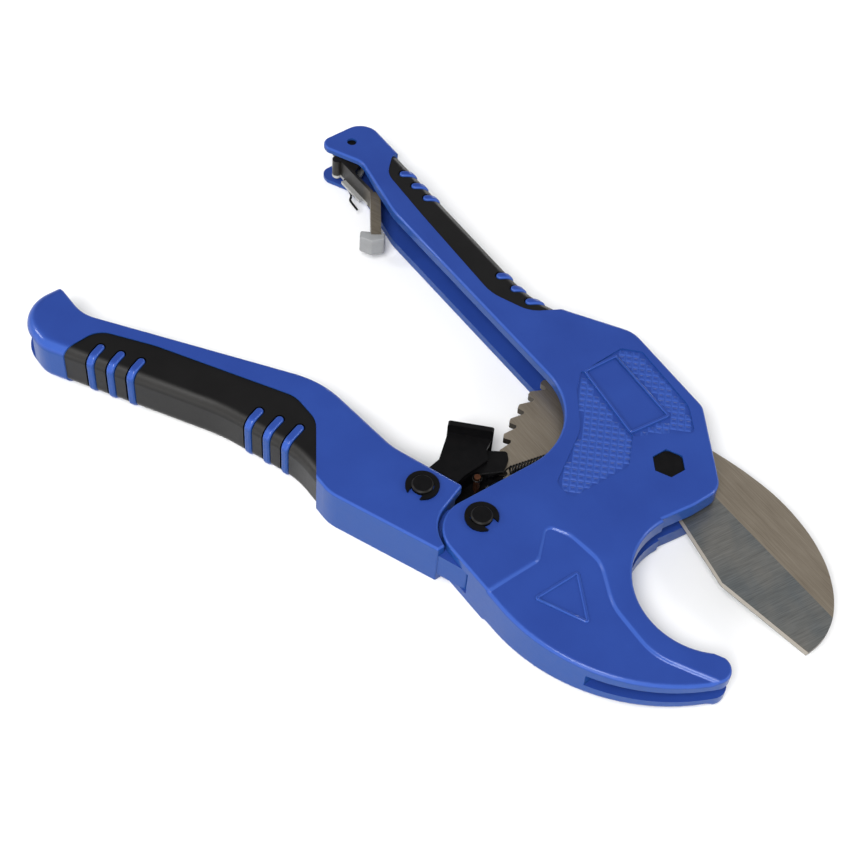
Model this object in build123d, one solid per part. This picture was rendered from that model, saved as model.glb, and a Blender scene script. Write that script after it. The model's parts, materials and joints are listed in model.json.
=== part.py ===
from build123d import *
import os
from math import atan2, cos, degrees, dist, radians, sin, tan

# Ratcheting pipe cutter, lying on its side.  +Z is through the thickness, +X runs along the fixed
# handle towards the jaw, and the moving handle is on the -Y side.  The parts are drawn about the
# blade pivot with Z = 0 at the middle of the thickness, and place() moves them to the part's frame.

# ---- Driving dimensions, millimetres ----
THICKNESS = 15.6            # frame and handles, side to side
HALF = THICKNESS / 2
CAVITY_HALF = 4.5           # half the wide gap between the side walls
SLOT_HALF = 2.3             # half the narrow blade slot in the head and jaw
TONGUE_HALF = 4.4           # half the moving handle's tongue, which runs between the side walls
BLADE_HALF = 1.1            # half the blade's thickness
EDGE_ROUND = 0.9            # rounding of the castings' edges
PALM_ROUND = 3.4            # rounding of the moving handle's outer edges, under the palm
FINGER_ROUND = 2.6          # rounding of the fixed handle's outer edges, under the fingers

PIPE_SEAT_CENTRE = (35.0, -14.5)
PIPE_SEAT_R = 21.4          # seats a 42 mm pipe
JAW_TAPER_START = 8.0       # the jaw thins towards its tip from this X
JAW_TIP_X = 60.0
JAW_TIP_HALF = 6.1
CHEEK_STEP = 0.8            # the side of the jaw is sunk by this inside its raised border
CHEEK_SLOPE = 45.0          # degrees, slope of the step from upright
CHEEK_FOOT_ROUND = 0.8
CHEEK_BORDER_ROUND = 1.2

HANDLE_PIVOT = (-14.5, -53.4)
PAWL_PIVOT = (-31.5, -60.5)
LATCH_PIVOT = (-149.3, -1.5)
TONGUE_R = 8.1

PIVOT_BOLT_R = 2.5
SLEEVE_R = 4.0              # sleeve on the pivot bolt that the blade turns on
WASHER_R = 7.0
HEX_AF = 8.0                # M5 bolt head and thin nut, across flats
HEX_POCKET_AF = 8.3
HEX_HEIGHT = 2.6
HEX_SINK = 0.3              # head and nut sit this far below the faces
HEX_TURN = 28.0             # degrees
HEX_CONE = (6.2, 4.25)      # bottom and top radius of the cone that breaks the head's corners
PIN_R = 3.0
PIN_HEAD_R = 4.4
PIN_HEAD_HEIGHT = 1.4
PIN_STAND = 1.5             # pin end above the upper face
CLIP_GROOVE_R = 2.35
CLIP_R = 4.65               # E-clip outside radius
CLIP_THICKNESS = 0.7
RUNNING_GAP = 0.05          # radial clearance of turning fits

TOOTH_TIP_R = 46.2
TOOTH_ROOT_R = 43.7
TOOTH_PITCH = 7.2           # degrees
TOOTH_COUNT = 11
FIRST_TOOTH = 189.3         # degrees, direction of the first tooth from the blade pivot

BUSH_R = 3.9                # sleeve that the pawl turns on
PAWL_HALF = 2.5
PAWL_GROOVE_HALF = 1.4      # half the groove that the blade's tail runs through
LEVER_SHEET = 1.5

GRIP_POCKET = 2.2           # depth of the grip's pocket in the handle
GRIP_SINK = 0.35            # the grip sits this far below the casting around it
RIB_WIDTH = 2.3
RIB_ROUND = 0.7
RIB_GAP = 0.35              # open groove beside each rib

RELIEF_DEPTH = 0.5          # depth of the knurled fields in the head's sides
PANEL_BORDER = 0.9
SIGN_BORDER = 0.7           # width of the jaw's raised triangular border
SIGN_HEIGHT = 0.35

STIFFENER = (84.0, 1.4, 2.0)
STIFFENER_CENTRE = (-100.0, 2.6)
TIP_PLATE = 1.9             # the fixed handle's two side plates thin to this round the latch
TIP_PLATE_ENDS = (-142.0, -131.0)

RIVETS = ((-33.4, -51.4), (-33.6, -42.2))
RIVET_R = 1.1
POST = (-27.9, -44.2)
POST_R = 0.9
PAWL_SPRING_ENDS = ((-24.8, -35.3, 2.9), (-20.9, -17.4, 2.9))
PAWL_SPRING_R = 1.4
PAWL_SPRING_WALL = 0.5

LATCH_PIN_R = 1.5
LATCH_SHEET = 1.0
LATCH_HALF = 3.5
LATCH_CAP_TOP = 2.7
LATCH_WEB_START = -150.6
LATCH_WEB_Y = -6.2
LATCH_KNUCKLE = (-149.1, -7.1)
LATCH_KNUCKLE_R = 1.5
LATCH_SPRING_R = 3.0
LATCH_SPRING_WALL = 0.7
LATCH_SPRING_HALF = 2.3
LATCH_FLANGE = (-145.2, -135.4)
LATCH_FLANGE_WIDTH = 1.9
LATCH_CAP_REACH = 0.3       # the cap reaches this far below the strap
LATCH_CAP_TURN = 49.6       # degrees

FOOTPRINT_CENTRE = (-45.91, -49.009)

# Outlines are lists of (x, y, corner radius).
FRAME_BACK = [
    (-155.2, 8.0, 6.5),
    (-66.0, 6.6, 34.0),
    (-41.5, 22.5, 9.0),
]
FRAME_BACK_FORM = FRAME_BACK + [(-20.0, 22.5, 0.0), (-20.0, -30.0, 0.0), (-155.2, -30.0, 0.0)]
FRAME_OUTLINE = FRAME_BACK + [
    (-9.6, 21.1, 5.0),
    (14.4, 6.4, 6.0),
    (14.3, -3.0, 14.0),
    (12.9, -13.2, 0.0),
    (35.0, -14.5, 0.0),
    (49.5, -29.5, 0.0),
    (54.0, -26.9, 2.0),
    (61.2, -26.9, 4.2),
    (44.0, -65.6, 54.0),
    (-22.4, -66.0, 10.3),
    (-20.4, -8.1, 22.0),
    (-118.0, -7.9, 20.0),
    (-140.5, -3.9, 6.0),
    (-151.2, -9.4, 1.4),
    (-155.2, -9.4, 3.0),
]
FRAME_CAVITY = [
    (-165.0, -90.0, 0.0),
    (-165.0, 20.0, 0.0),
    (-150.5, 20.0, 0.0),
    (-150.5, 2.8, 0.0),
    (-60.0, 2.8, 20.0),
    (-46.5, 11.5, 2.0),
    (-46.5, 40.0, 0.0),
    (-9.0, 40.0, 0.0),
    (-9.0, -44.0, 1.0),
    (-3.6, -46.0, 1.0),
    (-3.6, -90.0, 0.0),
]
BLADE_SLOT = [
    (-9.5, 45.0, 0.0),
    (85.0, 45.0, 0.0),
    (85.0, -70.0, 0.0),
    (36.3, -70.0, 0.0),
    (36.3, -50.0, 1.0),
    (-9.5, -50.0, 1.0),
]
JAW_CHEEK = [
    (4.4, -80.0, 0.0),
    (4.4, -49.0, 3.0),
    (-3.2, -40.6, 2.0),
    (3.0, -37.0, 8.0),
    (14.0, -35.6, 10.0),
    (26.0, -41.4, 16.0),
    (43.0, -42.0, 18.0),
    (66.0, -28.5, 0.0),
    (80.0, -40.0, 0.0),
    (60.0, -80.0, 0.0),
]
KNURL_FIELDS = [
    [
        (-39.0, 1.0, 0.5),
        (-33.5, -5.3, 8.0),
        (-22.6, -12.6, 12.0),
        (-12.2, -29.6, 2.0),
        (-6.0, -29.6, 2.0),
        (-5.2, -9.8, 3.0),
        (-12.6, -2.2, 0.5),
    ],
    [
        (-38.6, 15.2, 1.5),
        (-34.2, 19.6, 1.5),
        (-12.0, 17.8, 6.0),
        (-3.6, 12.8, 1.5),
        (-8.0, 6.4, 10.0),
        (-12.3, -2.0, 0.5),
        (-38.2, 1.0, 0.5),
    ],
]
PANEL = [(-37.7, 12.7, 0.5), (-38.4, 0.9, 0.5), (-13.6, -2.2, 0.5), (-12.1, 11.2, 0.5)]
SIGN = [(12.6, -57.2, 1.2), (12.6, -42.0, 1.2), (26.8, -49.7, 1.2)]
FRAME_GRIP_REGION = [
    (-137.6, 20.0, 0.0),
    (-137.6, 5.5, 3.0),
    (-132.0, -0.3, 7.0),
    (-112.0, -1.6, 60.0),
    (-76.0, -3.2, 14.0),
    (-64.0, 2.0, 10.0),
    (-57.5, 14.0, 0.0),
    (-62.0, 20.0, 0.0),
]
HANDLE_PALM = [
    (-44.0, -82.3, 12.0),
    (-60.0, -82.2, 25.0),
    (-84.0, -91.5, 60.0),
    (-131.5, -120.4, 8.0),
    (-147.8, -120.4, 11.0),
]
HANDLE_PALM_FORM = HANDLE_PALM + [(-147.8, -30.0, 0.0), (-20.0, -30.0, 0.0), (-20.0, -74.0, 0.0)]
HANDLE_OUTLINE = HANDLE_PALM + [
    (-147.8, -105.4, 3.0),
    (-134.4, -105.2, 12.0),
    (-76.5, -62.4, 30.0),
    (-47.0, -59.2, 20.0),
    (-25.8, -51.1, 0.8),
    (-20.5, -65.5, 10.9),
    (-12.9, -66.6, 0.5),
    (-12.9, -69.0, 0.5),
]
HANDLE_PALM_SIDE = [
    (-160.0, -100.0, 0.0),
    (-144.2, -100.0, 0.0),
    (-144.2, -109.4, 0.0),
    (-140.0, -112.0, 0.0),
    (-126.0, -108.0, 0.0),
    (-76.0, -75.0, 0.0),
    (-66.5, -72.0, 0.0),
    (-48.9, -83.6, 0.0),
    (-48.9, -100.0, 0.0),
    (-100.0, -140.0, 0.0),
    (-160.0, -140.0, 0.0),
]
FRAME_PALM_SIDE = [
    (-136.0, 30.0, 0.0),
    (-136.0, 2.0, 0.0),
    (-66.0, 1.0, 0.0),
    (-57.0, 30.0, 0.0),
]
HANDLE_CHANNEL = [
    (-60.0, -45.0, 0.0),
    (-143.4, -90.0, 0.0),
    (-143.4, -108.9, 0.8),
    (-165.0, -108.9, 0.0),
    (-165.0, -130.0, 0.0),
    (-136.5, -130.0, 0.0),
    (-136.5, -117.9, 0.0),
    (-86.4, -87.2, 40.0),
    (-61.0, -77.6, 25.0),
    (-45.0, -77.7, 8.0),
    (-33.5, -72.6, 3.0),
    (-24.6, -64.0, 3.0),
    (-24.6, -40.0, 0.0),
]
TONGUE_OUTLINE = [
    (-26.0, -73.2, 0.0),
    (-24.4, -62.0, 0.0),
    (-22.4, -55.0, 0.0),
    (-6.6, -55.0, 0.0),
    (-4.6, -60.0, 2.0),
    (-4.6, -65.3, 0.6),
    (-13.2, -68.7, 0.0),
]
HANDLE_GRIP_REGION = [
    (-118.0, -135.0, 0.0),
    (-125.6, -117.0, 3.0),
    (-126.6, -104.7, 7.0),
    (-113.0, -94.3, 30.0),
    (-76.0, -71.6, 9.0),
    (-66.0, -71.4, 8.0),
    (-48.5, -83.2, 0.0),
    (-48.5, -95.0, 0.0),
]
BLADE_EDGE = [
    (4.2, -11.6, 3.0),
    (10.5, -5.4, 0.5),
    (35.0, -10.2, 6.0),
]
BLADE_SPINE = [
    (63.4, -6.0),
    (62.9, 0.6),
    (60.2, 6.6),
    (55.0, 12.2),
    (47.6, 17.0),
    (37.6, 20.4),
    (24.0, 21.8),
    (9.0, 19.6),
    (-14.0, 12.6),
    (-43.4, -3.6),
]
PAWL_FLANK = [
    (-36.3, -58.0, 0.0),
    (-36.0, -41.0, 2.0),
    (-34.1, -36.2, 1.5),
    (-30.7, -31.6, 1.0),
    (-28.2, -33.1, 1.0),
    (-26.0, -36.4, 1.0),
    (-26.6, -40.4, 1.0),
    (-30.2, -43.0, 2.0),
    (-29.0, -58.0, 0.0),
]
PAWL_NOSE = [
    (-36.3, -58.0, 0.0),
    (-36.0, -40.0, 2.0),
    (-31.6, -34.6, 0.5),
    (-28.9, -36.6, 0.4),
    (-27.9, -40.8, 0.5),
    (-30.2, -43.0, 1.0),
    (-29.0, -58.0, 0.0),
]
UPPER_CHEEK = [
    (-36.6, -59.0, 0.0),
    (-38.3, -49.6, 1.0),
    (-44.4, -42.0, 0.0),
    (-35.6, -33.4, 0.0),
    (-33.8, -36.6, 1.0),
    (-30.6, -38.6, 0.5),
    (-30.0, -47.0, 1.0),
    (-27.0, -59.0, 0.0),
]
LOWER_CHEEK = [
    (-36.6, -59.0, 0.0),
    (-38.3, -49.6, 1.0),
    (-44.4, -42.0, 0.0),
    (-35.6, -33.4, 0.0),
    (-33.8, -36.6, 1.0),
    (-27.6, -39.4, 1.0),
    (-25.6, -46.0, 2.0),
    (-27.0, -59.0, 0.0),
]
THUMB_ENDS = ((-44.6, -42.2), (-35.4, -33.2))
LATCH_BEND = (-131.6, LATCH_WEB_Y)
LATCH_END = (-117.6, -15.8)


def face(corners):
    """A flat outline from (x, y, corner radius) triples."""
    points = [(x, y) for x, y, _ in corners]
    radii = [radius for _, _, radius in corners]
    return make_face(FilletPolyline(*points, radius=radii, close=True))


def flowing(points):
    """Corners for a run of points, each rounded as widely as its two sides allow."""
    corners = [(*points[0], 0.3)]
    for before, here, after in zip(points, points[1:], points[2:]):
        turn = (Vector(*here) - Vector(*before)).get_angle(Vector(*after) - Vector(*here))
        side = min(dist(before, here), dist(here, after))
        corners.append((*here, 0.49 * side / tan(radians(turn / 2))))
    return corners + [(*points[-1], 1.5)]


def slab(outline, low, high):
    """An outline raised between two heights."""
    return extrude(Pos(0, 0, low) * outline, amount=high - low, dir=(0, 0, 1))


def block(corners, half):
    """An outline raised to the same height on both sides of the middle."""
    return slab(face(corners), -half, half)


def disc(centre, radius, low, high):
    """A round bar along Z between two heights."""
    return Pos(centre[0], centre[1], (low + high) / 2) * Cylinder(radius, high - low)


def hexagon(across_flats, low, high):
    """A hexagonal prism on the blade pivot."""
    return slab(Rot(0, 0, HEX_TURN) * RegularPolygon(across_flats / 2, 6, major_radius=False), low, high)


def polar(radius, angle):
    """A point at an angle in degrees from the blade pivot."""
    return (radius * cos(radians(angle)), radius * sin(radians(angle)))


def place(shape):
    """Move a shape from the blade pivot's middle to the part's frame."""
    return Pos(-FOOTPRINT_CENTRE[0], -FOOTPRINT_CENTRE[1], HALF) * shape


def face_edges(solid, height):
    """The edges that bound the level faces at a height."""
    return [edge for edge in solid.edges() if abs(edge.center().Z - height) < 0.01]


def tapered_slab(inset):
    """The space between the frame's sides, which close in towards the jaw's tip."""
    profile = [
        (-200.0, -HALF + inset),
        (JAW_TAPER_START, -HALF + inset),
        (JAW_TIP_X, -JAW_TIP_HALF + inset),
        (JAW_TIP_X + 20.0, -JAW_TIP_HALF + inset),
        (JAW_TIP_X + 20.0, JAW_TIP_HALF - inset),
        (JAW_TIP_X, JAW_TIP_HALF - inset),
        (JAW_TAPER_START, HALF - inset),
        (-200.0, HALF - inset),
    ]
    section = make_face(Polyline(*[(x, 0, z) for x, z in profile], close=True))
    return Pos(0, 60, 0) * extrude(section, amount=200, dir=(0, -1, 0))


def rib_bars(starts, direction, length, width):
    """Round-ended bars through the whole thickness, in a row."""
    angle = degrees(atan2(direction[1], direction[0]))
    bar = Pos(length / 2, 0) * SlotCenterToCenter(length, width)
    return [slab(Pos(x, y) * Rot(0, 0, angle) * bar, -HALF - 1, HALF + 1) for x, y in starts]


def frame_ribs(width):
    """Two groups of three ribs on the fixed handle's back."""
    far = rib_bars([(-129.6 + 6.1 * i, 4.0) for i in range(3)], (0.55, 0.84), 14.0, width)
    near = rib_bars([(-80.0 + 6.3 * i, 3.4 + 0.5 * i) for i in range(3)], (0.50, 0.87), 14.0, width)
    return far + near


def handle_ribs(width):
    """Two groups of three ribs on the moving handle's palm side."""
    far = rib_bars([(-120.9 + 5.3 * i, -107.2 + 3.4 * i) for i in range(3)], (0.40, -0.92), 24.0, width)
    near = rib_bars([(-77.3 + 5.5 * i, -82.6 + 3.0 * i) for i in range(3)], (0.34, -0.94), 24.0, width)
    return far + near


def plate(outline, inset):
    """A casting's sharp-edged form with its surface moved inwards by the inset."""
    sunk = offset(face(outline), amount=-inset) if inset else face(outline)
    return slab(sunk, -HALF + inset, HALF - inset)


def rounded_plate(outline, inset, radius):
    """The same with its long edges rounded."""
    body = plate(outline, inset)
    return fillet(face_edges(body, HALF - inset) + face_edges(body, -HALF + inset), radius)


def palm_rounded(body, form, palm_side, radius):
    """A casting whose outer side takes a larger round."""
    area = block(palm_side, HALF + 5)
    return body - (area - rounded_plate(form, 0, radius))


def rounded_jaw_frame():
    """The frame's outer form with its edges rounded."""
    body = plate(FRAME_OUTLINE, 0) - disc(PIPE_SEAT_CENTRE, PIPE_SEAT_R, -HALF - 1, HALF + 1)
    body = body & tapered_slab(0)
    rim = [edge for edge in body.edges() if abs(edge.center().Z) > JAW_TIP_HALF - 0.5]
    rim = [edge for edge in rim if abs(edge.tangent_at(0.5).Z) < 0.5 and not is_crease(edge)]
    return palm_rounded(fillet(rim, EDGE_ROUND), FRAME_BACK_FORM, FRAME_PALM_SIDE, FINGER_ROUND)


def is_crease(edge):
    """True for the line where the jaw's taper starts."""
    return abs(edge.center().X - JAW_TAPER_START) < 0.01 and abs(edge.tangent_at(0.5).Y) > 0.99


def grip_pocket(form, region):
    """The space round a handle's core that a grip and its ribs fill."""
    return block(region, HALF + 5) - plate(form, GRIP_POCKET)


def rounded_ribs(form, region, radius, bars):
    """The casting's ribs, rounded over, which stand up through the grip."""
    core = plate(form, GRIP_POCKET)
    skin = rounded_plate(form, 0, radius) & block(region, HALF + 5)
    ribs = []
    for bar in bars:
        rib = (skin & bar) - core
        outer = [edge for edge in rib.edges() if edge.distance_to(core) > GRIP_POCKET - 0.8]
        ribs.append(fillet(outer, RIB_ROUND))
    return ribs


def grip(form, region, radius, slots):
    """A rubber sleeve round a handle's back, slotted for the ribs."""
    body = rounded_plate(form, GRIP_SINK, radius) & grip_pocket(form, region)
    for slot in slots:
        body -= slot
    return body


def head_relief():
    """What is sunk in both sides of the head: two fields for knurling, and a bordered plain panel."""
    sunk = [slab(face(field), HALF - RELIEF_DEPTH, HALF + 1) for field in KNURL_FIELDS]
    cut = sunk[0] + sunk[1] - slab(face(PANEL), HALF - 2, HALF + 2)
    cut += slab(offset(face(PANEL), amount=-PANEL_BORDER), HALF - RELIEF_DEPTH, HALF + 1)
    return [cut, mirror(cut, Plane.XY)]


def jaw_sign():
    """A plain raised triangular border on both cheeks of the jaw."""
    ring = face(SIGN) - offset(face(SIGN), amount=-SIGN_BORDER)
    return block(SIGN, HALF) & slab(ring, -HALF, HALF) & tapered_slab(CHEEK_STEP - SIGN_HEIGHT)


def jaw_drop(x):
    """How far the jaw's side lies below the upper face at an X."""
    share = max(x - JAW_TAPER_START, 0) / (JAW_TIP_X - JAW_TAPER_START)
    return (HALF - JAW_TIP_HALF) * share


def cheek_hollow():
    """What is sunk in the jaw's upper side: it follows the taper, and its foot is rounded."""
    depth = HALF - CHEEK_STEP
    floor = offset(face(JAW_CHEEK), amount=-CHEEK_STEP * tan(radians(CHEEK_SLOPE)) / 2)
    hollow = extrude(Pos(0, 0, depth) * floor, amount=HALF / 3, dir=(0, 0, 1), taper=-CHEEK_SLOPE)
    hollow = fillet(face_edges(hollow, depth), CHEEK_FOOT_ROUND)
    tilt = degrees(atan2(HALF - JAW_TIP_HALF, JAW_TIP_X - JAW_TAPER_START))
    return Pos(JAW_TAPER_START, 0, HALF) * Rot(0, tilt, 0) * Pos(-JAW_TAPER_START, 0, -HALF) * hollow


def meets_hollow(edge, hollow):
    """True for an edge where the hollow cuts the jaw's side."""
    middle = edge @ 0.5
    level = abs(abs(middle.Z) + jaw_drop(middle.X) - HALF) < 0.02
    return level and Vertex(middle.X, middle.Y, abs(middle.Z)).distance_to(hollow) < 0.01


def cheek_recess(body):
    """The jaw's sides sunk inside a raised border, with the step softened."""
    hollow = cheek_hollow()
    body -= [hollow, mirror(hollow, Plane.XY)]
    return fillet([edge for edge in body.edges() if meets_hollow(edge, hollow)], CHEEK_BORDER_ROUND)


def tip_hollow():
    """The wider space between the fixed handle's side plates round the latch, ramped to the cavity."""
    wide = HALF - TIP_PLATE
    end, start = TIP_PLATE_ENDS
    profile = [(-200, -wide), (end, -wide), (start, -CAVITY_HALF)]
    profile += [(x, -z) for x, z in reversed(profile)]
    section = make_face(Polyline(*[(x, 0, z) for x, z in profile], close=True))
    return block(FRAME_CAVITY, wide) & (Pos(0, 60, 0) * extrude(section, amount=200, dir=(0, -1, 0)))


def frame():
    """One casting: fixed handle, head and hooked jaw."""
    body = cheek_recess(rounded_jaw_frame())
    body += jaw_sign()
    body -= block(FRAME_CAVITY, CAVITY_HALF) + tip_hollow()
    body -= block(BLADE_SLOT, SLOT_HALF)
    body -= grip_pocket(FRAME_BACK_FORM, FRAME_GRIP_REGION)
    body += rounded_ribs(FRAME_BACK_FORM, FRAME_GRIP_REGION, FINGER_ROUND, frame_ribs(RIB_WIDTH))
    body -= head_relief()
    body += Pos(*STIFFENER_CENTRE, 0) * Box(*STIFFENER)
    body -= disc((0, 0), PIVOT_BOLT_R + RUNNING_GAP, -HALF, HALF)
    depth = HALF - HEX_SINK - HEX_HEIGHT
    body -= hexagon(HEX_POCKET_AF, depth, HALF)
    body -= hexagon(HEX_POCKET_AF, -HALF, -depth)
    body -= disc(HANDLE_PIVOT, PIN_R, -HALF, HALF)
    body -= disc(HANDLE_PIVOT, PIN_HEAD_R, -HALF, -HALF + PIN_HEAD_HEIGHT + 0.1)
    body -= disc(LATCH_PIVOT, LATCH_PIN_R, -HALF, HALF)
    return body


def moving_handle():
    """One casting: a channel open towards the fixed handle, with a tongue that enters the frame."""
    body = rounded_plate(HANDLE_OUTLINE, 0, EDGE_ROUND)
    body = palm_rounded(body, HANDLE_PALM_FORM, HANDLE_PALM_SIDE, PALM_ROUND)
    body -= block(HANDLE_CHANNEL, CAVITY_HALF)
    body -= grip_pocket(HANDLE_PALM_FORM, HANDLE_GRIP_REGION)
    body += rounded_ribs(HANDLE_PALM_FORM, HANDLE_GRIP_REGION, PALM_ROUND, handle_ribs(RIB_WIDTH))
    body += block(TONGUE_OUTLINE, TONGUE_HALF)
    body += disc(HANDLE_PIVOT, TONGUE_R, -TONGUE_HALF, TONGUE_HALF)
    body -= disc(HANDLE_PIVOT, PIN_R + RUNNING_GAP, -HALF, HALF)
    body -= disc(PAWL_PIVOT, PIN_R, -HALF, HALF)
    body -= disc(PAWL_PIVOT, PIN_HEAD_R, -HALF, -HALF + PIN_HEAD_HEIGHT + 0.1)
    return body


def frame_grip():
    """The rubber sleeve on the fixed handle."""
    slots = frame_ribs(RIB_WIDTH + 2 * RIB_GAP)
    return grip(FRAME_BACK_FORM, FRAME_GRIP_REGION, FINGER_ROUND, slots)


def handle_grip():
    """The rubber sleeve on the moving handle."""
    slots = handle_ribs(RIB_WIDTH + 2 * RIB_GAP)
    return grip(HANDLE_PALM_FORM, HANDLE_GRIP_REGION, PALM_ROUND, slots)


def pivot_pin(centre):
    """A headed pin with a groove for an E-clip at its upper end."""
    pin = disc(centre, PIN_R, -HALF + 0.1, HALF + PIN_STAND)
    pin += disc(centre, PIN_HEAD_R - 0.1, -HALF + 0.1, -HALF + PIN_HEAD_HEIGHT)
    groove = disc(centre, PIN_R + 1, HALF + 0.1, HALF + 0.1 + CLIP_THICKNESS)
    groove -= disc(centre, CLIP_GROOVE_R, HALF, HALF + 2)
    pin -= groove
    return chamfer(pin.edges().sort_by(Axis.Z)[-1], 0.4)


def e_clip(centre, opening):
    """A flat spring clip, open to one side, with three inner lobes."""
    low = HALF + 0.1
    high = low + CLIP_THICKNESS
    ring = disc(centre, CLIP_R, low, high) - disc(centre, CLIP_GROOVE_R, low - 1, high + 1)
    mouth = Pos(CLIP_R / 2 + 1.0, 0) * Rectangle(CLIP_R + 2.0, 3.9)
    cuts = slab(Pos(centre[0], centre[1]) * Rot(0, 0, opening) * mouth, low - 1, high + 1)
    for side in (112, -112):
        hollow = Rot(0, 0, opening + side) * Pos(2.75, 0) * SlotCenterToCenter(1.3, 0.9, rotation=90)
        cuts += slab(Pos(centre[0], centre[1]) * hollow, low - 1, high + 1)
    return ring - cuts


def blade_outline():
    """Cutting arm, back, and a tail with hooked ratchet teeth round the pivot."""
    corners = BLADE_EDGE + flowing(BLADE_SPINE)
    for index in range(TOOTH_COUNT):
        tip = FIRST_TOOTH + TOOTH_PITCH * index
        corners.append((*polar(TOOTH_TIP_R, tip - 0.9), 0.5))
        corners.append((*polar(TOOTH_TIP_R - 0.2, tip + 0.9), 0.5))
        corners.append((*polar(TOOTH_ROOT_R, tip + 1.1), 0.4))
        corners.append((*polar(TOOTH_ROOT_R - 0.1, tip + 2.2), 0.4))
    return face(corners)


def ground_face(inner, outer, inner_half, outer_half):
    """What grinding takes off both sides, between two parallel lines and beyond the outer one."""
    cut = []
    along = (Vector(*inner[1]) - Vector(*inner[0])).normalized()
    for side in (1, -1):
        wedge = [
            (*inner[0], side * inner_half),
            (*outer[0], side * outer_half),
            (*outer[0], side * 2.0),
            (*inner[0], side * 2.0),
        ]
        cut.append(extrude(make_face(Polyline(*wedge, close=True)), amount=dist(*inner), dir=along))
    return cut


def blade():
    """The blade, ground on both sides to its cutting edge, with a steeper strip along the edge."""
    body = slab(blade_outline(), -BLADE_HALF, BLADE_HALF)
    body -= ground_face(((12.8, 7.2), (75, 7.2)), ((12.8, -11.0), (75, -11.0)), BLADE_HALF, 0.16)
    for start, finish in (((5.0, -4.3), (35.0, -10.4)), ((33.0, -10.5), (66.0, -5.6))):
        along = (Vector(*finish) - Vector(*start)).normalized()
        inward = Vector(-along.Y, along.X) * 1.0
        inner = [tuple(Vector(*point) + inward)[:2] for point in (start, finish)]
        outer = [tuple(Vector(*point) - inward * 0.2)[:2] for point in (start, finish)]
        body -= ground_face(inner, outer, 0.26, 0.03)
    return body - disc((0, 0), SLEEVE_R + RUNNING_GAP, -2, 2)


def blade_sleeve():
    """The sleeve that carries the blade on the pivot bolt."""
    sleeve = disc((0, 0), SLEEVE_R, -SLOT_HALF + 0.05, SLOT_HALF - 0.05)
    return sleeve - disc((0, 0), PIVOT_BOLT_R + RUNNING_GAP, -SLOT_HALF, SLOT_HALF)


def pivot_washers():
    """Two spacers that centre the blade in its slot."""
    rings = []
    for side in (1, -1):
        ring = Cylinder(WASHER_R, SLOT_HALF - BLADE_HALF - 0.1) - Cylinder(SLEEVE_R + RUNNING_GAP, 4)
        rings.append(Pos(0, 0, side * (SLOT_HALF + BLADE_HALF) / 2) * ring)
    return Compound(rings)


def pivot_bolt():
    """A hexagon head bolt sunk in the upper face."""
    top = HALF - HEX_SINK
    head = hexagon(HEX_AF, top - HEX_HEIGHT, top)
    head &= Pos(0, 0, top - HEX_HEIGHT / 2) * Cone(*HEX_CONE, HEX_HEIGHT)
    return head + disc((0, 0), PIVOT_BOLT_R, -HALF + HEX_SINK, top - HEX_HEIGHT)


def pivot_nut():
    """A thin nut sunk in the lower face."""
    low = -HALF + HEX_SINK
    return hexagon(HEX_AF, low, low + HEX_HEIGHT) - disc((0, 0), PIVOT_BOLT_R, -HALF, 0)


def pawl_bush():
    """The sleeve between the handle's pin and the pawl."""
    body = disc(PAWL_PIVOT, BUSH_R, -CAVITY_HALF + 0.05, CAVITY_HALF - 0.05)
    return body - disc(PAWL_PIVOT, PIN_R + RUNNING_GAP, -HALF, HALF)


def pawl():
    """The pawl: flanks that straddle the blade's tail, and a nose that drives the teeth."""
    body = block(PAWL_FLANK, PAWL_HALF)
    body -= block(PAWL_FLANK, PAWL_GROOVE_HALF)
    body += block(PAWL_NOSE, PAWL_GROOVE_HALF)
    body += disc(PAWL_PIVOT, 5.6, -PAWL_HALF, PAWL_HALF)
    body -= disc(PAWL_PIVOT, BUSH_R + RUNNING_GAP, -HALF, HALF)
    for centre in RIVETS:
        body -= disc(centre, RIVET_R, -HALF, HALF)
    return body


def release_lever():
    """A folded sheet lever: a cheek on each side of the pawl, and a thumb plate across them."""
    (x0, y0), (x1, y1) = THUMB_ENDS
    angle = degrees(atan2(y1 - y0, x1 - x0))
    length = ((x1 - x0) ** 2 + (y1 - y0) ** 2) ** 0.5
    plate = fillet(Box(length, LEVER_SHEET, 2 * HALF - 0.6).edges().filter_by(Axis.Y), 0.8)
    thumb = Pos((x0 + x1) / 2, (y0 + y1) / 2, 0) * Rot(0, 0, angle) * Pos(0, LEVER_SHEET / 2, 0) * plate
    upper = slab(face(UPPER_CHEEK), PAWL_HALF, PAWL_HALF + LEVER_SHEET)
    upper += disc(PAWL_PIVOT, 5.2, PAWL_HALF, PAWL_HALF + LEVER_SHEET)
    lower = slab(face(LOWER_CHEEK), -PAWL_HALF - LEVER_SHEET, -PAWL_HALF)
    lower += disc(PAWL_PIVOT, 5.2, -PAWL_HALF - LEVER_SHEET, -PAWL_HALF)
    lever = thumb + upper + lower
    lever -= disc(PAWL_PIVOT, BUSH_R + RUNNING_GAP, -HALF, HALF)
    for centre in RIVETS:
        lever -= disc(centre, RIVET_R, -HALF, HALF)
    return lever - disc(POST, POST_R, -HALF, 0)


def lever_rivets():
    """Two rivets through the lever and the pawl."""
    reach = PAWL_HALF + LEVER_SHEET
    return Compound([disc(centre, RIVET_R, -reach, reach) for centre in RIVETS])


def spring_post():
    """The copper-plated post that the pawl spring hooks on."""
    return disc(POST, POST_R, -PAWL_HALF - LEVER_SHEET, 3.6)


def coil(start, finish, radius, wire):
    """A close-wound coil's tube between two points."""
    axis = Vector(*finish) - Vector(*start)
    tube = Cylinder(radius, axis.length) - Cylinder(radius - wire, axis.length)
    return Plane(start, z_dir=axis) * Pos(0, 0, axis.length / 2) * tube


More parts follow.
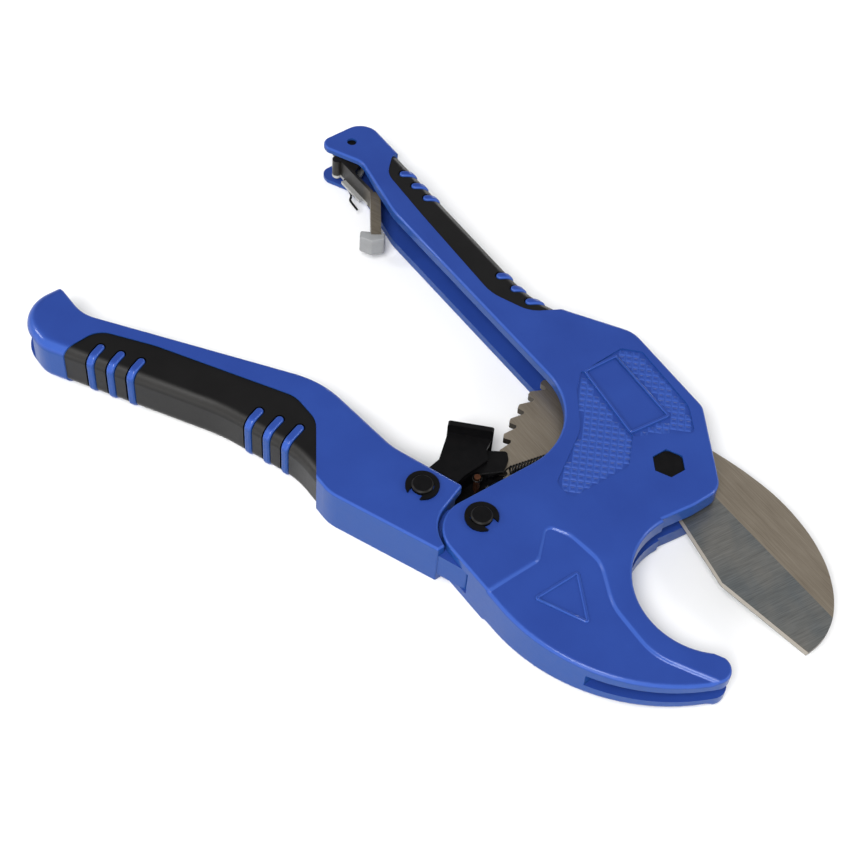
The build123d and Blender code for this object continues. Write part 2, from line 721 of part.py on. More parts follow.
def pawl_spring():
    """The coil that pulls the pawl onto the teeth."""
    return coil(*PAWL_SPRING_ENDS, PAWL_SPRING_R, PAWL_SPRING_WALL)


def latch_strap():
    """A folded strap: two lugs on the latch pin, a web, and a cranked end with a top flange."""
    bend_x, bend_y = LATCH_BEND
    end_x, end_y = LATCH_END
    crank = degrees(atan2(end_y - bend_y, end_x - bend_x))
    reach = ((end_x - bend_x) ** 2 + (end_y - bend_y) ** 2) ** 0.5
    web = Box(bend_x - LATCH_WEB_START, LATCH_SHEET, 2 * LATCH_HALF)
    web = Pos((LATCH_WEB_START + bend_x) / 2, bend_y, 0) * web
    end = Pos(reach / 2, 0, 0) * Box(reach, LATCH_SHEET, 2 * LATCH_HALF)
    flange = Pos(reach / 2, 1.1, LATCH_HALF - LATCH_SHEET / 2) * Box(reach, 3.0, LATCH_SHEET)
    arm = Pos(bend_x, bend_y, 0) * Rot(0, 0, crank) * (end + flange)
    lug = [
        (-153.0, bend_y - 0.5, 1.0),
        (-153.0, 1.6, 3.2),
        (-145.6, 1.6, 3.2),
        (-141.0, bend_y - 0.5, 1.0),
    ]
    lugs = slab(face(lug), LATCH_HALF - LATCH_SHEET, LATCH_HALF)
    lugs += slab(face(lug), -LATCH_HALF, -LATCH_HALF + LATCH_SHEET)
    knuckle = disc(LATCH_KNUCKLE, LATCH_KNUCKLE_R, -LATCH_HALF, LATCH_HALF)
    low, high = LATCH_FLANGE
    foot = Box(high - low, LATCH_FLANGE_WIDTH, LATCH_SHEET)
    foot = Pos((low + high) / 2, bend_y - LATCH_FLANGE_WIDTH / 2, (LATCH_SHEET - 2 * LATCH_HALF) / 2) * foot
    strap = web + arm + lugs + knuckle + foot
    return strap - disc(LATCH_PIVOT, LATCH_PIN_R + RUNNING_GAP, -HALF, HALF)


def latch_cap():
    """The moulded cap pushed onto the strap's end."""
    end_x, end_y = LATCH_END
    tip = [(-3.8, 1.2, 0.6), (-3.8, -1.4, 0.8), (0.0, -2.9, 0.8), (3.8, -1.4, 0.8), (3.8, 1.2, 0.6)]
    low = -LATCH_HALF - LATCH_CAP_REACH
    body = slab(face(tip), low, LATCH_CAP_TOP)
    body = fillet(face_edges(body, low) + face_edges(body, LATCH_CAP_TOP), 0.5)
    return Pos(end_x, end_y, 0) * Rot(0, 0, LATCH_CAP_TURN) * body - latch_strap()


def latch_pin():
    """A plain pin pressed through both sides of the fixed handle, a little below each face."""
    return disc(LATCH_PIVOT, LATCH_PIN_R, -HALF + 0.8, HALF - 0.8)


def latch_spring():
    """The torsion coil round the latch pin, between the strap's lugs."""
    x, y = LATCH_PIVOT
    return coil((x, y, -LATCH_SPRING_HALF), (x, y, LATCH_SPRING_HALF), LATCH_SPRING_R, LATCH_SPRING_WALL)


NODES = {
    "frame": frame,
    "frame_grip": frame_grip,
    "moving_handle": moving_handle,
    "handle_grip": handle_grip,
    "blade": blade,
    "blade_sleeve": blade_sleeve,
    "pivot_washers": pivot_washers,
    "pivot_bolt": pivot_bolt,
    "pivot_nut": pivot_nut,
    "handle_pin": lambda: pivot_pin(HANDLE_PIVOT),
    "handle_pin_clip": lambda: e_clip(HANDLE_PIVOT, 10),
    "pawl_pin": lambda: pivot_pin(PAWL_PIVOT),
    "pawl_pin_clip": lambda: e_clip(PAWL_PIVOT, 290),
    "pawl_bush": pawl_bush,
    "pawl": pawl,
    "release_lever": release_lever,
    "lever_rivets": lever_rivets,
    "spring_post": spring_post,
    "pawl_spring": pawl_spring,
    "latch_strap": latch_strap,
    "latch_cap": latch_cap,
    "latch_pin": latch_pin,
    "latch_spring": latch_spring,
}


def main():
    """Build every node and write it to parts/."""
    os.makedirs("parts", exist_ok=True)
    for name, build in NODES.items():
        export_step(place(build()), f"parts/{name}.step")


main()
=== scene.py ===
import json
import math

import bmesh
import bpy
from mathutils import Matrix, Vector
from mathutils.bvhtree import BVHTree


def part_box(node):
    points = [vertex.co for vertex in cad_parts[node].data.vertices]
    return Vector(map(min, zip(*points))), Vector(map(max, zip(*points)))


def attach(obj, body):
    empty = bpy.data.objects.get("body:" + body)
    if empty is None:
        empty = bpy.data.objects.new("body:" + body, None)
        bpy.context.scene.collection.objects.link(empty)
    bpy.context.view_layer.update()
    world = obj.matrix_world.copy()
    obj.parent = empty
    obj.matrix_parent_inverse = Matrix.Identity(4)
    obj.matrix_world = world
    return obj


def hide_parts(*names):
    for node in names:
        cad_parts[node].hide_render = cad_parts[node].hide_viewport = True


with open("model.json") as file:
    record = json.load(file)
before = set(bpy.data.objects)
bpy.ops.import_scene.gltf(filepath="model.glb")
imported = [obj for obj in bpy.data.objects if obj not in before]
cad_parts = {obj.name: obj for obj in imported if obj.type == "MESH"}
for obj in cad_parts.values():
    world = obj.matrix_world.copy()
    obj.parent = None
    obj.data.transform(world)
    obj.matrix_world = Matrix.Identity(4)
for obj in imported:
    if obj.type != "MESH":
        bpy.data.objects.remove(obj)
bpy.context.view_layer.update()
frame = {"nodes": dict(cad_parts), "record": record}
NODES = frame["nodes"]
MM = 0.001

# ---- Places that everything is measured from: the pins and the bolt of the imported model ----


def middle(node):
    """The middle of a CAD node's box."""
    low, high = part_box(node)
    return (low + high) / 2


PIVOT = middle("pivot_bolt")
TOP_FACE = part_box("frame")[1].z
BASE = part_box("frame")[0].z
MID = (TOP_FACE + BASE) / 2


def at(x, y, z=0.0):
    """A point from millimetres off the blade pivot and the middle of the thickness."""
    return Vector((PIVOT.x + x * MM, PIVOT.y + y * MM, MID + z * MM))


# ---- Material building blocks ----


class Shader:
    """A node material under construction."""

    def __init__(self, name):
        self.material = bpy.data.materials.new(name)
        self.material.use_nodes = True
        self.nodes = self.material.node_tree.nodes
        self.links = self.material.node_tree.links
        self.bsdf = self.nodes["Principled BSDF"]

    def add(self, kind, **settings):
        node = self.nodes.new(kind)
        for key, value in settings.items():
            if key in node.inputs:
                node.inputs[key].default_value = value
            else:
                setattr(node, key, value)
        return node

    def join(self, source, target):
        self.links.new(source, target)

    def position(self, scale=(1.0, 1.0, 1.0), turn=0.0):
        """The surface's place in metres, turned about Z by an angle in degrees, then stretched."""
        where = self.add("ShaderNodeTexCoord")
        spin = self.add("ShaderNodeMapping")
        spin.inputs["Rotation"].default_value = (0, 0, math.radians(turn))
        stretch = self.add("ShaderNodeMapping")
        stretch.inputs["Scale"].default_value = scale
        self.join(where.outputs["Object"], spin.inputs["Vector"])
        self.join(spin.outputs[0], stretch.inputs["Vector"])
        return stretch.outputs[0]

    def noise(self, where, scale, detail=3.0, rough=0.5):
        node = self.add("ShaderNodeTexNoise", Scale=scale, Detail=detail, Roughness=rough)
        self.join(where, node.inputs["Vector"])
        return node.outputs["Fac"]

    def ramp(self, value, stops):
        """A colour ramp from (position, colour) stops."""
        node = self.add("ShaderNodeValToRGB")
        elements = node.color_ramp.elements
        while len(elements) < len(stops):
            elements.new(0.5)
        for element, (place, colour) in zip(elements, stops):
            element.position = place
            element.color = (*colour, 1.0)
        self.join(value, node.inputs[0])
        return node.outputs["Color"]

    def tones(self, value, dark, light):
        """A soft blend of two display colours."""
        return self.ramp(value, [(0.3, srgb(*dark)), (0.7, srgb(*light))])

    def below(self, value, limit):
        """1 where a value is less than the limit, and 0 elsewhere."""
        node = self.add("ShaderNodeMath", operation="LESS_THAN")
        node.inputs[1].default_value = limit
        self.join(value, node.inputs[0])
        return node.outputs[0]

    def span(self, value, low, high):
        """A value from 0 to 1 moved to a new range."""
        node = self.add("ShaderNodeMapRange")
        node.inputs["To Min"].default_value = low
        node.inputs["To Max"].default_value = high
        self.join(value, node.inputs["Value"])
        return node.outputs["Result"]

    def mix(self, factor, first, second):
        node = self.add("ShaderNodeMix", data_type="RGBA")
        self.join(factor, node.inputs[0])
        for value, socket in ((first, node.inputs[6]), (second, node.inputs[7])):
            if isinstance(value, tuple):
                socket.default_value = (*value, 1.0)
            else:
                self.join(value, socket)
        return node.outputs[2]

    def bump(self, height, strength, distance, under=None):
        node = self.add("ShaderNodeBump", Strength=strength, Distance=distance)
        self.join(height, node.inputs["Height"])
        if under:
            self.join(under, node.inputs["Normal"])
        return node.outputs["Normal"]

    def finish(self, colour=None, rough=None, normal=None, **constants):
        for socket, value in (("Base Color", colour), ("Roughness", rough), ("Normal", normal)):
            if value is not None:
                self.join(value, self.bsdf.inputs[socket])
        for name, value in constants.items():
            self.bsdf.inputs[name.replace("_", " ")].default_value = value
        return self.material


def srgb(red, green, blue):
    """Linear colour from display values of 0 to 255."""
    def linear(value):
        value /= 255
        return value / 12.92 if value <= 0.04045 else ((value + 0.055) / 1.055) ** 2.4
    return (linear(red), linear(green), linear(blue))


BLACK = (0.0, 0.0, 0.0)
WHITE = (1.0, 1.0, 1.0)


def upright_part(shader, normal="Normal"):
    """The size of the upright part of a face's normal: 1 on level faces and 0 on upright ones."""
    split = shader.add("ShaderNodeSeparateXYZ")
    shader.join(shader.add("ShaderNodeNewGeometry").outputs[normal], split.inputs[0])
    upright = shader.add("ShaderNodeMath", operation="ABSOLUTE")
    shader.join(split.outputs["Z"], upright.inputs[0])
    return upright.outputs[0]


def edge_highlight_mask(shader):
    """1 on the rounded edges between the level and the upright faces, 0 on those faces: where painted highlights
    go.
    """
    return shader.ramp(upright_part(shader), [(0.15, BLACK), (0.45, WHITE), (0.85, WHITE), (0.97, BLACK)])


def wall_light_tint_mask(shader):
    """1 on upright faces, 0 on the others: where the blue paint's painted light tint goes."""
    return shader.ramp(upright_part(shader), [(0.15, WHITE), (0.40, BLACK)])


def blue_paint():
    """Thick satin enamel: faint orange peel, a little unevenness, a painted light tint on upright faces and
    painted highlights on rounded edges.
    """
    s = Shader("blue_paint")
    where = s.position()
    body = s.tones(s.noise(where, 55, 4), (34, 58, 128), (38, 64, 136))
    # Painted light: upright faces get a greener blue that stands for how light falls on them.
    body = s.mix(wall_light_tint_mask(s), body, srgb(29, 65, 130))
    # Painted highlight: rounded edges are painted a paler blue.
    colour = s.mix(edge_highlight_mask(s), body, srgb(50, 80, 156))
    peel = s.noise(where, 900, 2)
    waves = s.noise(where, 260, 2)
    normal = s.bump(waves, 0.12, 0.0004, s.bump(peel, 0.10, 0.0001))
    rough = s.span(s.noise(where, 120, 3), 0.26, 0.36)
    return s.finish(colour, rough, normal, Specular_IOR_Level=0.10, Coat_Weight=0.17, Coat_Roughness=0.10)


def grip_rubber():
    """Moulded black rubber: fine matt grain, with a painted sheen that pales the rounded edges."""
    s = Shader("grip_rubber")
    where = s.position()
    body = s.tones(s.noise(where, 90, 4), (6, 5, 5), (11, 10, 10))
    # Painted sheen: rounded edges are painted a paler grey.
    colour = s.mix(edge_highlight_mask(s), body, srgb(40, 39, 38))
    grain = s.noise(where, 2600, 3, 0.6)
    normal = s.bump(grain, 0.25, 0.00008)
    rough = s.span(s.noise(where, 300, 3), 0.32, 0.42)
    return s.finish(colour, rough, normal, Specular_IOR_Level=0.25)


# The upright part of the blade's normal, below which its side is each of these: the bevel, the honed strip at
# the edge that is painted bright as a highlight, and the upright sides that are painted darker as shade.
BEVEL = 0.9994
KEEN_STRIP_HIGHLIGHT = 0.985
WALL_SHADE = 0.5


def blade_steel():
    """Ground steel: long grain on the flats, cross grinding on the bevel, a honed strip at the edge painted
    bright as a highlight, and upright sides painted darker as shade.
    """
    s = Shader("blade_steel")
    along = s.noise(s.position((110, 5200, 400)), 1, 5, 0.6)
    across = s.noise(s.position((6400, 160, 400), turn=8), 1, 5, 0.6)
    stain = s.noise(s.position(), 70, 4)
    level = upright_part(s, "True Normal")
    bevel = s.below(level, BEVEL)
    flat = s.mix(stain, s.tones(along, (137, 125, 109), (162, 151, 134)),
                 s.tones(along, (150, 138, 122), (176, 165, 149)))
    clouds = s.noise(s.position((45, 90, 90), turn=20), 1, 3)
    ground = s.mix(s.ramp(clouds, [(0.38, BLACK), (0.62, WHITE)]),
                   s.tones(across, (102, 107, 108), (132, 136, 137)),
                   s.tones(across, (118, 117, 113), (148, 147, 142)))
    # Painted highlight: the honed strip at the edge is painted near white.
    colour = s.mix(s.below(level, KEEN_STRIP_HIGHLIGHT), s.mix(bevel, flat, ground), srgb(214, 206, 194))
    # Painted shade: the blade's upright sides are painted a darker brown.
    colour = s.mix(s.below(level, WALL_SHADE), colour, srgb(92, 86, 78))
    grain = s.add("ShaderNodeMix", data_type="FLOAT")
    s.join(bevel, grain.inputs[0])
    s.join(along, grain.inputs[2])
    s.join(across, grain.inputs[3])
    rough = s.span(grain.outputs[0], 0.30, 0.50)
    normal = s.bump(grain.outputs[0], 0.25, 0.00004)
    return s.finish(colour, rough, normal, Metallic=0.9)


def black_steel():
    """Black oxide finish, with painted highlights that pale the rounded edges."""
    s = Shader("black_steel")
    where = s.position()
    body = s.ramp(s.noise(where, 400, 4), [(0.3, srgb(6, 6, 7)), (0.75, srgb(12, 11, 12))])
    # Painted highlight: rounded edges are painted a paler grey.
    colour = s.mix(edge_highlight_mask(s), body, srgb(30, 29, 28))
    normal = s.bump(s.noise(where, 1800, 3), 0.2, 0.00006)
    rough = s.span(s.noise(where, 500, 3), 0.30, 0.44)
    return s.finish(colour, rough, normal, Specular_IOR_Level=0.12)


def wire_steel():
    """Oiled spring wire."""
    s = Shader("spring_wire")
    where = s.position()
    colour = s.tones(s.noise(where, 900, 3), (14, 14, 15), (28, 27, 26))
    rough = s.span(s.noise(where, 700, 3), 0.25, 0.42)
    return s.finish(colour, rough, s.bump(s.noise(where, 4000, 2), 0.15, 0.00003), Metallic=0.6)


def turned_steel():
    """Bright turned steel for sleeves and spacers."""
    s = Shader("bright_steel")
    where = s.position((300, 300, 9000))
    colour = s.tones(s.noise(where, 1, 3), (150, 150, 150), (188, 188, 186))
    rough = s.span(s.noise(where, 1, 4), 0.2, 0.4)
    return s.finish(colour, rough, s.bump(s.noise(where, 1, 4), 0.2, 0.00003), Metallic=1.0)


STRAP_SHADOW_FADE = (-136.0, -129.0)       # the strap's painted shadow turns it from black to brown between these two X
PALE_FLANGE_BELOW = -2.45                  # the strap's lower flange is painted pale grey under this Z
PALE_FLANGE_BEFORE = -133.0                # and short of this X


def strap_steel():
    """Plated strip, drawn along its length: painted shadow under the tip plate makes it black at the pin, brown
    towards the cap, pale grey on the lower flange.
    """
    s = Shader("strap_steel")
    lines = s.noise(s.position((150, 3000, 3000), turn=-20), 1, 4, 0.6)
    place = s.add("ShaderNodeSeparateXYZ")
    s.join(s.position(), place.inputs[0])
    # Painted shadow: the strap is painted near black at the pin, under the tip plate, and brown towards the cap.
    shadow_fade = s.add("ShaderNodeMapRange")
    for end, x in zip(("From Min", "From Max"), STRAP_SHADOW_FADE):
        shadow_fade.inputs[end].default_value = at(x, 0).x
    s.join(place.outputs["X"], shadow_fade.inputs["Value"])
    brown = s.tones(lines, (84, 77, 66), (112, 104, 91))
    black = s.tones(lines, (24, 23, 22), (44, 42, 39))
    pale_flange = s.add("ShaderNodeMath", operation="MULTIPLY")
    s.join(s.below(place.outputs["Z"], at(0, 0, PALE_FLANGE_BELOW).z), pale_flange.inputs[0])
    s.join(s.below(place.outputs["X"], at(PALE_FLANGE_BEFORE, 0).x), pale_flange.inputs[1])
    colour = s.mix(pale_flange.outputs[0], s.mix(shadow_fade.outputs["Result"], black, brown), srgb(168, 168, 166))
    return s.finish(colour, s.span(lines, 0.30, 0.48), s.bump(lines, 0.2, 0.00003), Metallic=0.4)


def copper_plate():
    """Copper plating, slightly tarnished."""
    s = Shader("copper_post")
    where = s.position()
    colour = s.tones(s.noise(where, 900, 3), (84, 50, 34), (118, 76, 54))
    normal = s.bump(s.noise(where, 3000, 2), 0.15, 0.00003)
    return s.finish(colour, s.span(s.noise(where, 700, 2), 0.28, 0.45), normal, Metallic=0.9)


def cap_plastic():
    """Pale grey moulded plastic."""
    s = Shader("cap_plastic")
    where = s.position()
    colour = s.tones(s.noise(where, 250, 3), (126, 127, 128), (140, 141, 142))
    normal = s.bump(s.noise(where, 2200, 3), 0.2, 0.00006)
    return s.finish(colour, s.span(s.noise(where, 300, 3), 0.38, 0.5), normal)


FINISHES = {
    "blue_paint": blue_paint(),
    "grip_rubber": grip_rubber(),
    "blade_steel": blade_steel(),
    "bright_steel": turned_steel(),
    "black_steel": black_steel(),
    "spring_wire": wire_steel(),
    "strap_steel": strap_steel(),
    "copper_post": copper_plate(),
    "cap_plastic": cap_plastic(),
}


def wear(piece, finish):
    """Give a piece one finish all over."""
    piece.data.materials.clear()
    piece.data.materials.append(FINISHES[finish])


def dress_cad_nodes():
    """Every CAD node takes the finish that its record slot names."""
    for part in frame["record"]["subparts"]:
        wear(NODES[part["node"]], part["material_slot"])


LEVEL = 0.999               # upright part of a normal, above which a face counts as level
COPLANAR = 0.05             # degrees between triangles that join into one flat face
AREA_WEIGHT = 95


def level_faces_flat():
    """A geometry node group that shades level and nearly level faces flat."""
    group = bpy.data.node_groups.new("level_faces_flat", "GeometryNodeTree")
    group.interface.new_socket("Geometry", in_out="INPUT", socket_type="NodeSocketGeometry")
    group.interface.new_socket("Geometry", in_out="OUTPUT", socket_type="NodeSocketGeometry")
    source = group.nodes.new("NodeGroupInput")
    result = group.nodes.new("NodeGroupOutput")
    shade = group.nodes.new("GeometryNodeSetShadeSmooth")
    shade.inputs["Shade Smooth"].default_value = False
    split = group.nodes.new("ShaderNodeSeparateXYZ")
    upright = group.nodes.new("ShaderNodeMath")
    upright.operation = "ABSOLUTE"
    level = group.nodes.new("ShaderNodeMath")
    level.operation = "GREATER_THAN"
    level.inputs[1].default_value = LEVEL
    group.links.new(group.nodes.new("GeometryNodeInputNormal").outputs["Normal"], split.inputs[0])
    group.links.new(split.outputs["Z"], upright.inputs[0])
    group.links.new(upright.outputs[0], level.inputs[0])
    group.links.new(level.outputs[0], shade.inputs["Selection"])
    group.links.new(source.outputs[0], shade.inputs["Geometry"])
    group.links.new(shade.outputs[0], result.inputs[0])
    return group


def even_normals():
    """Flat faces shade flat and rounds shade smoothly: coplanar triangles join, then weigh by area."""
    flats = level_faces_flat()
    for node in NODES.values():
        join = node.modifiers.new("join_flats", "DECIMATE")
        join.decimate_type = "DISSOLVE"
        join.angle_limit = math.radians(COPLANAR)
        node.modifiers.new("level_faces_flat", "NODES").node_group = flats
        shade = node.modifiers.new("even_normals", "WEIGHTED_NORMAL")
        shade.mode = "FACE_AREA"
        shade.weight = AREA_WEIGHT
        shade.keep_sharp = True


# ---- Pieces that the CAD leaves plain ----


def surface_of(node):
    """A CAD node's surface, for casting rays onto."""
    mesh = NODES[node].data
    return BVHTree.FromPolygons([v.co for v in mesh.vertices], [tuple(p.vertices) for p in mesh.polygons])


def finished(name, shape, body, finish, smooth=True):
    """Turn a bmesh into a piece that rides on a body."""
    mesh = bpy.data.meshes.new(name)
    bmesh.ops.recalc_face_normals(shape, faces=shape.faces)
    shape.to_mesh(mesh)
    shape.free()
    for polygon in mesh.polygons:
        polygon.use_smooth = smooth
    piece = bpy.data.objects.new(name, mesh)
    bpy.context.scene.collection.objects.link(piece)
    wear(piece, finish)
    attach(piece, body)
    return piece


KNURL_CENTRE = (-20.0, -2.0)
KNURL_PITCH = 2.0
KNURL_REACH = 20            # rows and columns tried on each side of the centre
KNURL_TURN = 46.0           # degrees
KNURL_DEPTH = 0.5           # the fields are sunk by this, and the studs nearly fill them
PANEL_CORNERS = ((-38.4, 0.9), (-13.6, -2.2), (-12.1, 11.2), (-37.7, 12.7))
STUD_RINGS = ((0.96, 0.0), (0.66, 0.16), (0.42, 0.26), (0.20, 0.30))    # half width, height
PROBE_RISE = 2.0            # a field is felt for from this far above it
PROBE_SLACK = 0.02


def knurl_stud(shape, centre, side):
    """One blunt four-sided stud that stands on the sunk field."""
    rings = []
    for half, rise in STUD_RINGS:
        ring = []
        for corner in range(4):
            angle = math.radians(KNURL_TURN + 45 + 90 * corner)
            reach = half * math.sqrt(2) * MM
            spot = centre + Vector((math.cos(angle), math.sin(angle), 0)) * reach
            spot.z += side * rise * MM
            ring.append(shape.verts.new(spot))
        rings.append(ring)
    for low, high in zip(rings, rings[1:]):
        for i in range(4):
            shape.faces.new((low[i], low[(i + 1) % 4], high[(i + 1) % 4], high[i]))
    shape.faces.new(rings[-1])
    shape.faces.new(list(reversed(rings[0])))


def on_field(surface, spot, side, floor_z):
    """True where most of a stud stands on a sunk field."""
    reach = STUD_RINGS[1][0] * MM
    for dx, dy in ((0, 0), (0, reach), (0, -reach), (reach, 0), (-reach, 0)):
        start = Vector((spot.x + dx, spot.y + dy, floor_z + PROBE_RISE * side * MM))
        hit = surface.ray_cast(start, Vector((0, 0, -side)), 5 * PROBE_RISE * MM)[0]
        if not hit or abs(hit.z - floor_z) > PROBE_SLACK * MM:
            return False
    return True


def head_knurl():
    """Diamond knurling in the sunk fields of both sides of the head, beside the plain panel."""
    surface = surface_of("frame")
    shape = bmesh.new()
    turn = math.radians(KNURL_TURN)
    middle_x, middle_y = KNURL_CENTRE
    steps = range(-KNURL_REACH, KNURL_REACH + 1)
    for side, face_z in ((1, TOP_FACE), (-1, BASE)):
        floor_z = face_z - side * KNURL_DEPTH * MM
        for row in steps:
            for column in steps:
                u, v = row * KNURL_PITCH, column * KNURL_PITCH
                spot = at(middle_x + u * math.cos(turn) - v * math.sin(turn),
                          middle_y + u * math.sin(turn) + v * math.cos(turn))
                if on_field(surface, spot, side, floor_z) and not on_panel(spot):
                    knurl_stud(shape, Vector((spot.x, spot.y, floor_z)), side)
    return finished("head_knurl", shape, "frame", "blue_paint", smooth=False)


def on_panel(spot):
    """True inside the bordered plain panel."""
    corners = [at(x, y) for x, y in PANEL_CORNERS]
    for here, ahead in zip(corners, corners[1:] + corners[:1]):
        side = ahead - here
        if side.x * (spot.y - here.y) - side.y * (spot.x - here.x) < 0:
            return False
    return True


def tube_along(points, radius, sides=10):
    """A round wire through a run of points, with closed ends."""
    shape = bmesh.new()
    rings = []
    across = None
    for i, here in enumerate(points):
        ahead = points[min(i + 1, len(points) - 1)]
        behind = points[max(i - 1, 0)]
        along = (ahead - behind).normalized()
        if across is None:
            across = along.orthogonal().normalized()
        across = (across - along * across.dot(along)).normalized()
        up = along.cross(across)
        spots = []
        for k in range(sides):
            angle = 2 * math.pi * k / sides
            spots.append(shape.verts.new(here + (across * math.cos(angle) + up * math.sin(angle)) * radius))
        rings.append(spots)
    for low, high in zip(rings, rings[1:]):
        for k in range(sides):
            shape.faces.new((low[k], low[(k + 1) % sides], high[(k + 1) % sides], high[k]))
    shape.faces.new(rings[-1])
    shape.faces.new(list(reversed(rings[0])))
    return shape


def helix(start, finish, radius, turns, steps=24):
    """Points of a coil about the line from start to finish."""
    axis = finish - start
    across = axis.orthogonal().normalized()
    up = axis.normalized().cross(across)
    points = []
    for i in range(int(turns * steps) + 1):
        share = i / (turns * steps)
        angle = 2 * math.pi * turns * share
        points.append(start + axis * share + (across * math.cos(angle) + up * math.sin(angle)) * radius)
    return points


def smooth_path(points, steps=8):
    """A Catmull-Rom line through the points."""
    padded = [points[0] * 2 - points[1], *points, points[-1] * 2 - points[-2]]
    line = []
    for a, b, c, d in zip(padded, padded[1:], padded[2:], padded[3:]):
        for i in range(steps):
            t = i / steps
            line.append(0.5 * (2 * b + (c - a) * t + (2 * a - 5 * b + 4 * c - d) * t ** 2
                               + (3 * b - a - 3 * c + d) * t ** 3))
    return line + [points[-1]]


PANEL_BEAD = ((-37.28, 12.22), (-37.90, 1.32), (-13.99, -1.70), (-12.57, 10.80))
SIGN_BEAD = ((12.95, -56.62), (12.95, -42.59), (26.06, -49.70))
PANEL_BEAD_ROUND = 0.6
SIGN_BEAD_ROUND = 0.9
BEAD_R = 0.5
BEAD_SIDES = 12
BEAD_SUNK = 0.36            # how far the bead's centre lies below the border's face
SIGN_DROP = 0.45            # the triangle's border lies this far below the jaw's rim
JAW_TAPER_START = 8.0
JAW_TAPER = 1.7 / 52.0      # fall of the jaw's side per millimetre of X


def loop_of(corners, radius, height_at):
    """A closed run of points with rounded corners, at a height that depends on X."""
    points = []
    spots = [Vector(corner) for corner in corners]
    for i, here in enumerate(spots):
        enter = here + (spots[i - 1] - here).normalized() * radius
        leave = here + (spots[(i + 1) % len(spots)] - here).normalized() * radius
        for step in range(5):
            t = step / 4
            spot = enter * (1 - t) ** 2 + here * 2 * t * (1 - t) + leave * t ** 2
            points.append(at(spot.x, spot.y, height_at(spot.x)))
    return points + [points[0]]


def border_beads():
    """The rounded crowns of the panel's border and the jaw's triangle, on both sides of the frame."""
    centre = (TOP_FACE - MID) / MM - BEAD_SUNK
    for side, name in ((1, "upper"), (-1, "lower")):
        def panel_height(x):
            return side * centre

        def sign_height(x):
            return side * (centre - SIGN_DROP - JAW_TAPER * (x - JAW_TAPER_START))

        panel = loop_of(PANEL_BEAD, PANEL_BEAD_ROUND, panel_height)
        sign = loop_of(SIGN_BEAD, SIGN_BEAD_ROUND, sign_height)
        finished("panel_bead_" + name, tube_along(panel, BEAD_R * MM, BEAD_SIDES), "frame", "blue_paint")
        finished("sign_bead_" + name, tube_along(sign, BEAD_R * MM, BEAD_SIDES), "frame", "blue_paint")


PAWL_COIL_ENDS = ((-24.8, -35.3, 2.9), (-20.9, -17.4, 2.9))
PAWL_COIL_R = 1.12
PAWL_COIL_TURNS = 20
PAWL_WIRE_R = 0.30
PAWL_WIRE_SIDES = 8
HOOK_WIRE_R = 0.2
HOOK_RING_R = 1.25          # the hook's turn round the post


def pawl_spring():
    """The pawl's tension spring: a close coil, and the hook round the post."""
    start, finish = [at(*end) for end in PAWL_COIL_ENDS]
    wire = tube_along(helix(start, finish, PAWL_COIL_R * MM, PAWL_COIL_TURNS), PAWL_WIRE_R * MM, PAWL_WIRE_SIDES)
    coil = finished("pawl_spring_coil", wire, "pawl_lever", "spring_wire")
    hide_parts("pawl_spring")
    post = middle("spring_post")
    post.z = start.z
    along = (post - start).normalized()
    aside = Vector((along.y, -along.x, 0))
    hook = [start + aside * 1.2 * MM, start + (aside * 0.7 + along * 0.8) * MM]
    hook += [start + (aside * 0.25 + along * 1.9) * MM, post + (aside * 0.9 - along * 2.2) * MM]
    for degrees in range(-30, 271, 30):
        turn = math.radians(degrees)
        hook.append(post + (aside * math.cos(turn) + along * math.sin(turn)) * HOOK_RING_R * MM)
    finished("pawl_spring_hook", tube_along(smooth_path(hook), HOOK_WIRE_R * MM), "pawl_lever", "spring_wire")


LATCH_COIL_R = 2.6
LATCH_COIL_HALF = 2.0
LATCH_COIL_TURNS = 5
LATCH_WIRE_R = 0.38
LATCH_LEG_R = 0.36
LATCH_LEG = (
    (-146.6, -4.3, -2.1),
    (-144.6, -7.4, -3.0),
    (-141.0, -7.7, -3.8),
    (-139.4, -8.4, -4.1),
    (-138.3, -9.5, -4.1),
    (-136.0, -9.9, -4.0),
    (-133.6, -10.1, -3.9),
)


def latch_spring():
    """The latch's torsion spring: a coil round the pin, and a bent leg that hangs out of the strap."""
    pin = middle("latch_pin")
    reach = LATCH_COIL_HALF * MM
    start, finish = Vector((pin.x, pin.y, MID - reach)), Vector((pin.x, pin.y, MID + reach))
    wire = tube_along(helix(start, finish, LATCH_COIL_R * MM, LATCH_COIL_TURNS), LATCH_WIRE_R * MM)
    coil = finished("latch_spring_coil", wire, "frame", "spring_wire")
    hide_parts("latch_spring")
    leg = smooth_path([at(*point) for point in LATCH_LEG])
    finished("latch_spring_leg", tube_along(leg, LATCH_LEG_R * MM), "latch", "black_steel")


# ---- Scene ----


FLOOR_SIZE = 6.0
FLOOR_GAP = 0.0002          # the floor lies this far under the frame
LIGHTS = {                  # place, size and power
    "key": ((0.35, -0.55, 0.95), 0.5, 13),
    "front": ((0.65, -0.85, 0.35), 0.45, 4),
    "side": ((0.75, 0.75, 0.55), 0.4, 4),
    "rim": ((-0.55, 0.75, 0.25), 0.16, 1.1),
    "left": ((-0.65, -0.70, 0.50), 0.16, 2.5),
}


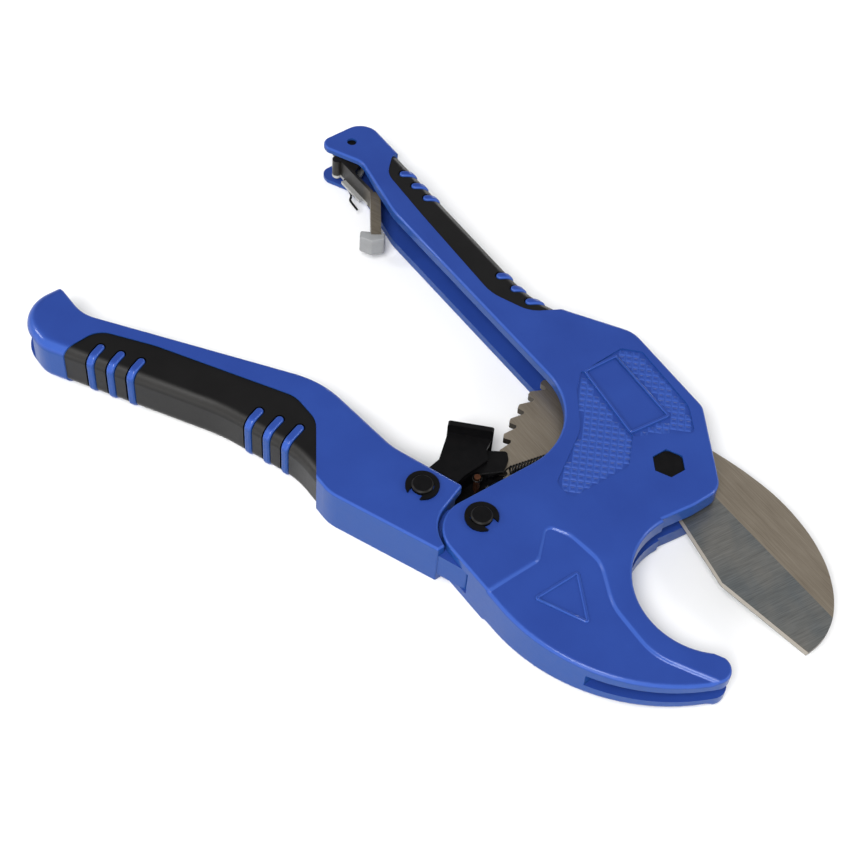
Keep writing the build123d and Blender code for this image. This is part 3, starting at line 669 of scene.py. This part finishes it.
def soft_light(name, place, size, power):
    """A round soft light that faces the middle of the part."""
    lamp = bpy.data.lights.new(name, "AREA")
    lamp.shape = "DISK"
    lamp.size = size
    lamp.energy = power
    holder = bpy.data.objects.new(name, lamp)
    holder.location = place
    holder.rotation_euler = Vector(place).to_track_quat("Z", "Y").to_euler()
    bpy.context.scene.collection.objects.link(holder)


def studio():
    """A pale floor, a pale surround and soft lights."""
    s = Shader("floor_paper")
    tone = s.ramp(s.noise(s.position(), 8, 2), [(0.3, (0.86, 0.86, 0.86)), (0.7, (0.88, 0.88, 0.88))])
    paper = s.finish(tone, Roughness=0.9)
    bpy.ops.mesh.primitive_plane_add(size=FLOOR_SIZE, location=(0, 0, BASE - FLOOR_GAP))
    floor = bpy.context.object
    floor.name = "floor"
    floor.data.materials.append(paper)

    world = bpy.data.worlds.new("studio")
    bpy.context.scene.world = world
    world.use_nodes = True
    surround = world.node_tree.nodes["Background"]
    surround.inputs["Color"].default_value = (0.97, 0.98, 1.0, 1.0)
    surround.inputs["Strength"].default_value = 0.40
    bpy.context.scene.view_settings.view_transform = "Standard"
    for name, (place, size, power) in LIGHTS.items():
        soft_light(name, place, size, power)


CAMERA_PLACE = (182.96, -243.35, 407.01)
CAMERA_RIGHT = (0.5904, 0.8052, 0.0548)
CAMERA_DOWN = (0.6637, -0.4458, -0.6006)
FOCAL_LENGTH = 76.8
SENSOR_WIDTH = 36.0
NEAREST = 0.01              # metres


def camera():
    """Looks down on the cutter from beyond its jaw."""
    lens = bpy.data.cameras.new("camera")
    lens.lens = FOCAL_LENGTH
    lens.sensor_width = SENSOR_WIDTH
    lens.clip_start = NEAREST
    view = bpy.data.objects.new("camera", lens)
    right, down = Vector(CAMERA_RIGHT), Vector(CAMERA_DOWN)
    forward = right.cross(down).normalized()
    facing = Matrix((right, -down, -forward)).transposed().to_4x4()
    view.matrix_world = Matrix.Translation(at(*CAMERA_PLACE)) @ facing
    bpy.context.scene.collection.objects.link(view)
    bpy.context.scene.camera = view


dress_cad_nodes()
even_normals()
head_knurl()
border_beads()
pawl_spring()
latch_spring()
camera()
studio()
